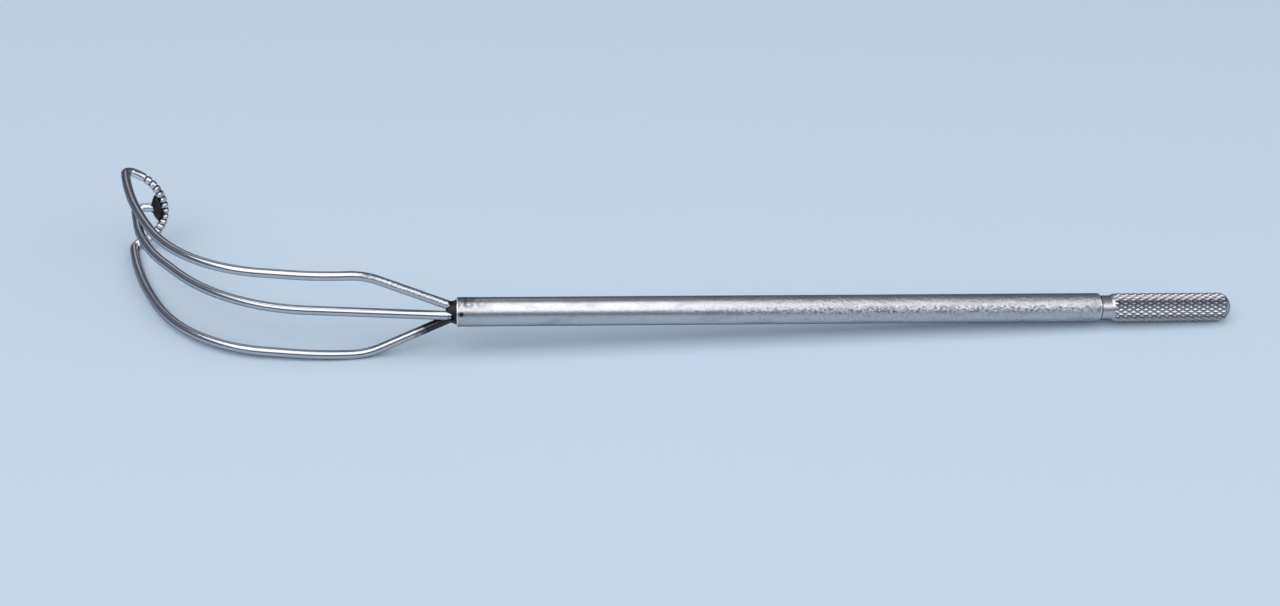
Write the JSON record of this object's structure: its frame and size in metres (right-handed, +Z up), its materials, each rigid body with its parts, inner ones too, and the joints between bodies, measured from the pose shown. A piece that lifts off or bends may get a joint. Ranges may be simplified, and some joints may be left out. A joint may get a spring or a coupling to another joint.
{
  "type": "handheld surgical retractor",
  "caption": "Slender wire-frame retractor: tube handle with a knurled plug, and a hooked blade of bent round wire that ends in a serrated lip.",
  "frame": {"origin": "middle of the foot of the bounding box, on the surface that the retractor lies on", "axes": "+X along the handle towards the knurled plug, +Y the way the blade hooks, +Z up with the retractor lying on its side"},
  "size_m": [0.2478, 0.0502, 0.023],
  "materials": {
    "satin_tube": "satin",
    "knurled_steel": "bright turned and knurled",
    "polished_wire": "polished",
    "dark_braze": "dark oxidised filler"
  },
  "bodies": {
    "root": {"handle_tube": "satin_tube", "knurled_grip": "knurled_steel", "outer_loop_wire": "polished_wire", "centre_wire": "polished_wire", "tip_braze": "dark_braze", "mouth_braze": "dark_braze"}
  },
  "joints": []
}
